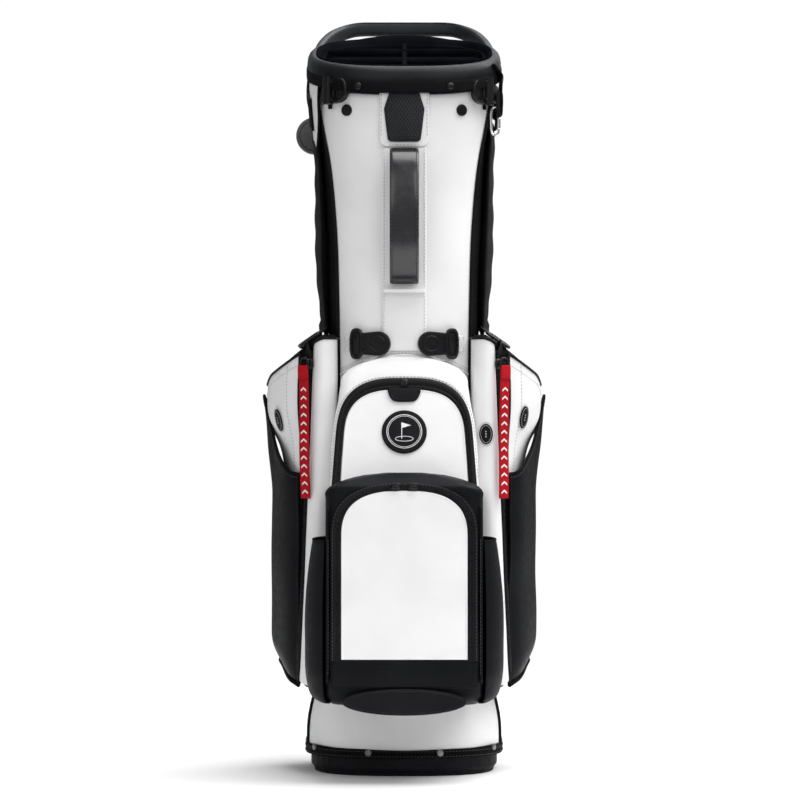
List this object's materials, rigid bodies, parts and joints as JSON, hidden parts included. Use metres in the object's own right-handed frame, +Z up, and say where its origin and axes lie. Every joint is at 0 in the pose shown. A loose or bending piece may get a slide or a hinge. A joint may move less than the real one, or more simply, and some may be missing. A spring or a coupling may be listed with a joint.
{
  "type": "golf stand bag",
  "caption": "Walking golf bag: slim padded tube with moulded collar and base, zipped pockets, carry handle, shoulder straps and two folding stand legs.",
  "frame": {"origin": "middle of the sole's underside, on the floor", "axes": "+Z up along the tube, -Y towards the front pockets and carry handle, +Y towards the legs and hip pad, -X to the left as seen from the front"},
  "size_m": [0.3214, 0.3558, 0.9163],
  "materials": {
    "white_leatherette": "fine-grained synthetic leather, satin",
    "black_leatherette": "fine-grained synthetic leather, satin",
    "black_mesh": "open spacer mesh",
    "black_nylon": "woven",
    "collar_plastic": "soft-touch moulding",
    "black_plastic": "satin moulding",
    "black_rubber": "matte, moulded texture",
    "glossy_strap": "glossy",
    "lining": "brushed lining",
    "red_webbing": "flat woven ribbon",
    "chrome": "polished",
    "black_aluminium": "anodised",
    "steel": "drawn wire",
    "zip_black": "coil zip on woven tape"
  },
  "bodies": {
    "bag": {"rubber_sole": "black_rubber", "base_boot": "black_plastic", "base_hem_band": "black_nylon", "front_panel": "white_leatherette", "right_side_panel": "black_nylon", "left_side_panel": "black_nylon", "back_panel": "black_nylon", "stay_rod_left": "black_aluminium", "stay_rod_right": "black_aluminium", "top_collar": "collar_plastic", "top_divider": "black_rubber", "divider_walls": "lining", "spine_panel": "white_leatherette", "handle_patch": "white_leatherette", "carry_handle": "glossy_strap", "clip_ring_left": "black_plastic", "clip_ring_right": "black_plastic", "strap_ring_left": "black_plastic", "strap_ring_right": "black_plastic", "valuables_pocket": "white_leatherette", "valuables_door": "white_leatherette", "valuables_zip": "zip_black", "round_emblem": "black_rubber", "ball_pocket": "black_leatherette", "ball_pocket_door": "white_leatherette", "ball_pocket_zip": "zip_black", "pocket_skid": "black_rubber", "apparel_pocket_left": "white_leatherette", "apparel_pocket_right": "white_leatherette", "bottle_sleeve_left": "black_leatherette", "bottle_sleeve_right": "black_leatherette", "apparel_zip_left": "zip_black", "apparel_zip_right": "zip_black", "strap_pad_left": "black_mesh", "strap_pad_right": "black_mesh", "strap_yoke_left": "white_leatherette", "strap_yoke_right": "white_leatherette", "hip_pad": "black_mesh", "magnetic_disc": "black_rubber", "accessory_loop": "black_nylon", "leg_mount": "black_plastic", "rod_guide": "black_plastic"},
    "left_leg": {"leg_tube_left": "black_aluminium", "leg_foot_left": "black_rubber"},
    "right_leg": {"leg_tube_right": "black_aluminium", "leg_foot_right": "black_rubber"},
    "push_rod": {"push_rod": "steel"},
    "foot_lever": {"foot_lever": "black_rubber"},
    "left_zip_slider": {"zip_slider_left": "black_plastic"},
    "right_zip_slider": {"zip_slider_right": "black_plastic"},
    "left_ribbon": {"red_ribbon_left": "red_webbing"},
    "right_ribbon": {"red_ribbon_right": "red_webbing"},
    "left_clip_tab": {"clip_tab_left": "black_plastic"},
    "right_clip_tab": {"clip_tab_right": "black_plastic"},
    "valuables_slider": {"valuables_zip_slider": "black_plastic"},
    "valuables_pull": {"valuables_pull_tab": "black_rubber"},
    "ball_left_slider": {"ball_zip_slider_left": "black_plastic"},
    "ball_right_slider": {"ball_zip_slider_right": "black_plastic"},
    "accessory_hook": {"accessory_hook": "chrome"}
  },
  "joints": [
    {"name": "left_leg_swing", "type": "hinge", "parent": "bag", "child": "left_leg", "pos_m": [-0.06645, 0.11624, 0.836], "axis": [0.9063, 0.4226, 0], "range_deg": [0, 28]},
    {"name": "right_leg_swing", "type": "hinge", "parent": "bag", "child": "right_leg", "pos_m": [0.06645, 0.11624, 0.836], "axis": [0.9063, -0.4226, 0], "range_deg": [0, 28.5]},
    {"name": "push_rod_slide", "type": "slide", "parent": "bag", "child": "push_rod", "axis": [0, 0, 1], "range_m": [0, 0.0108]},
    {"name": "foot_lever_tilt", "type": "hinge", "parent": "bag", "child": "foot_lever", "pos_m": [0, 0.047, 0.0095], "axis": [1, 0, 0], "range_deg": [0, 8.6]},
    {"name": "left_zip_slide", "type": "slide", "parent": "bag", "child": "left_zip_slider", "axis": [-0.0491, 0, -0.9988], "range_m": [0, 0.3]},
    {"name": "right_zip_slide", "type": "slide", "parent": "bag", "child": "right_zip_slider", "axis": [0.0491, 0, -0.9988], "range_m": [0, 0.3]},
    {"name": "left_ribbon_swing", "type": "hinge", "parent": "left_zip_slider", "child": "left_ribbon", "pos_m": [-0.1185, -0.0905, 0.4855], "axis": [-1, 0, 0], "range_deg": [0, 75]},
    {"name": "right_ribbon_swing", "type": "hinge", "parent": "right_zip_slider", "child": "right_ribbon", "pos_m": [0.1185, -0.0905, 0.4855], "axis": [-1, 0, 0], "range_deg": [0, 75]},
    {"name": "left_clip_swing", "type": "hinge", "parent": "bag", "child": "left_clip_tab", "pos_m": [-0.0545, -0.08809, 0.512], "axis": [0, 0, -1], "range_deg": [0, 100]},
    {"name": "right_clip_swing", "type": "hinge", "parent": "bag", "child": "right_clip_tab", "pos_m": [0.0545, -0.08809, 0.512], "axis": [0, 0, 1], "range_deg": [0, 100]},
    {"name": "valuables_zip_travel", "type": "hinge", "parent": "bag", "child": "valuables_slider", "pos_m": [0, -0.14958, 0.36727], "axis": [0, -0.9508, 0.3099], "range_deg": [-34, 34]},
    {"name": "valuables_pull_flip", "type": "hinge", "parent": "valuables_slider", "child": "valuables_pull", "pos_m": [0, -0.12164, 0.46006], "axis": [-1, 0, 0], "range_deg": [0, 100]},
    {"name": "ball_left_zip_travel", "type": "hinge", "parent": "bag", "child": "ball_left_slider", "pos_m": [0, -0.2011, 0.2047], "axis": [0, -1, 0], "range_deg": [0, 21]},
    {"name": "ball_right_zip_travel", "type": "hinge", "parent": "bag", "child": "ball_right_slider", "pos_m": [0, -0.2011, 0.2047], "axis": [0, 1, 0], "range_deg": [0, 21]},
    {"name": "accessory_hook_swing", "type": "hinge", "parent": "bag", "child": "accessory_hook", "pos_m": [0.11414, -0.06155, 0.784], "axis": [-0.385, -0.9229, 0], "range_deg": [-10, 70]}
  ],
  "couplings": [
    {"joint": "right_leg_swing", "follows": "left_leg_swing", "ratio": 1},
    {"joint": "push_rod_slide", "follows": "left_leg_swing", "m_per_rad": 0.022},
    {"joint": "foot_lever_tilt", "follows": "left_leg_swing", "ratio": 0.3056}
  ]
}
